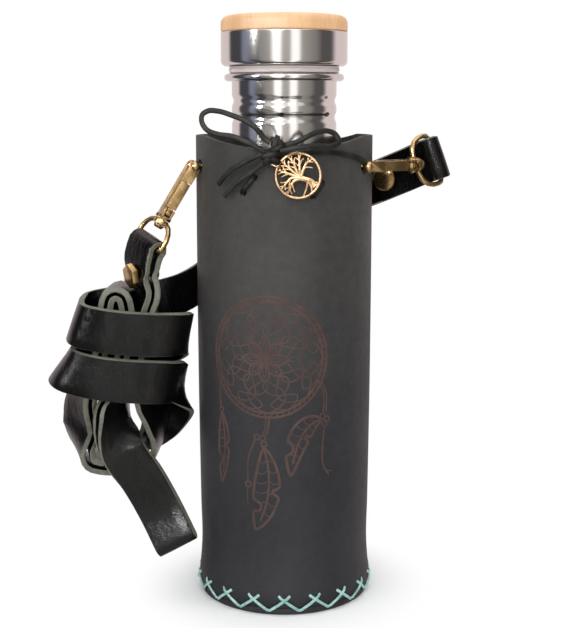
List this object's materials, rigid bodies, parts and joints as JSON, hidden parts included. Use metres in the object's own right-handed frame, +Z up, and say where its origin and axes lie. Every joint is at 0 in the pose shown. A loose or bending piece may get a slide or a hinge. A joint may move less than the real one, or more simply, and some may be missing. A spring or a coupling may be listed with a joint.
{
  "type": "water bottle case",
  "caption": "Stitched leather tube case that carries a steel drinking bottle on a wound leather shoulder strap with two snap hooks and a lace bow.",
  "frame": {"origin": "middle of the case's flat bottom", "axes": "+Z up along the bottle, -Y toward the front with the bow, -X toward the wound strap"},
  "size_m": [0.1874, 0.095, 0.27],
  "materials": {
    "case_leather": "matte oiled",
    "strap_leather": "glossy grained",
    "lace_leather": "matte",
    "waxed_thread": "waxed",
    "antique_brass": "antiqued",
    "antique_copper": "antiqued copper tone",
    "bottle_steel": "satin",
    "seal_rubber": "matte",
    "plug_plastic": "matte",
    "bamboo": "satin"
  },
  "bodies": {
    "case": {"case_body": "case_leather", "base_disc": "case_leather", "base_stitching": "waxed_thread", "seam_stitching": "waxed_thread", "lace_knot": "lace_leather", "lace_loop_left": "lace_leather", "lace_loop_right": "lace_leather", "lace_run_right": "lace_leather", "lace_tail_a": "lace_leather", "lace_tail_b": "lace_leather", "lace_stitch_left": "lace_leather", "lace_stitch_right": "lace_leather", "strap_back": "strap_leather"},
    "bottle": {"bottle_shell": "bottle_steel"},
    "cap_carrier": {"cap_seal": "seal_rubber"},
    "cap": {"cap_plug": "plug_plastic", "cap_shell": "bottle_steel", "bamboo_disc": "bamboo"},
    "left_hook": {"hook_left": "antique_brass", "gate_pin_left": "antique_brass", "swivel_post_left": "antique_brass"},
    "left_gate": {"gate_left": "antique_brass"},
    "left_strap": {"swivel_ring_left": "antique_brass", "strap_left": "strap_leather", "hex_screw": "antique_brass", "screw_post": "antique_brass"},
    "right_hook": {"hook_right": "antique_brass", "gate_pin_right": "antique_brass", "swivel_post_right": "antique_brass"},
    "right_gate": {"gate_right": "antique_brass"},
    "right_strap": {"swivel_ring_right": "antique_brass", "strap_right": "strap_leather", "dome_rivet": "antique_brass", "rivet_cap": "antique_brass"},
    "charm": {"charm_disc": "antique_copper", "charm_ring": "antique_copper"}
  },
  "joints": [
    {"name": "bottle_lift", "type": "slide", "parent": "case", "child": "bottle", "axis": [0, 0, 1], "range_m": [0, 0.22]},
    {"name": "cap_rise", "type": "slide", "parent": "bottle", "child": "cap_carrier", "axis": [0, 0, 1], "range_m": [0, 0.0166]},
    {"name": "cap_turn", "type": "hinge", "parent": "cap_carrier", "child": "cap", "pos_m": [0, 0, 0.2478], "axis": [0, 0, 1], "range_deg": [0, 792]},
    {"name": "left_hang", "type": "hinge", "parent": "case", "child": "left_hook", "pos_m": [-0.03833, -0.00956, 0.2032], "axis": [-0.2419, 0.9703, 0], "range_deg": [0, 8]},
    {"name": "left_gate_pin", "type": "hinge", "parent": "left_hook", "child": "left_gate", "pos_m": [-0.0523, -0.01774, 0.18235], "axis": [-0.8294, -0.2068, 0.5189], "range_deg": [0, 15], "stiffness_Nm_per_rad": 0.01, "springref_deg": -11.46},
    {"name": "left_swivel", "type": "hinge", "parent": "left_hook", "child": "left_strap", "pos_m": [-0.05609, -0.01319, 0.17811], "axis": [-0.5097, -0.0999, -0.8545], "range_deg": [0, 2]},
    {"name": "right_hang", "type": "hinge", "parent": "case", "child": "right_hook", "pos_m": [0.03735, -0.01286, 0.2032], "axis": [-0.3256, -0.9455, 0], "range_deg": [0, 4]},
    {"name": "right_gate_pin", "type": "hinge", "parent": "right_hook", "child": "right_gate", "pos_m": [0.05823, -0.00685, 0.2032], "axis": [0, 0, -1], "range_deg": [0, 15], "stiffness_Nm_per_rad": 0.01, "springref_deg": -11.46},
    {"name": "right_swivel", "type": "hinge", "parent": "right_hook", "child": "right_strap", "pos_m": [0.06095, -0.00018, 0.2032], "axis": [0.8412, 0.5408, 0], "range_deg": [0, 4]},
    {"name": "charm_swing", "type": "hinge", "parent": "case", "child": "charm", "pos_m": [-0.0045, -0.0426, 0.20515], "axis": [0, 1, 0], "range_deg": [-10, 10]}
  ],
  "couplings": [
    {"joint": "cap_rise", "follows": "cap_turn", "m_per_rad": 0.0011937}
  ]
}
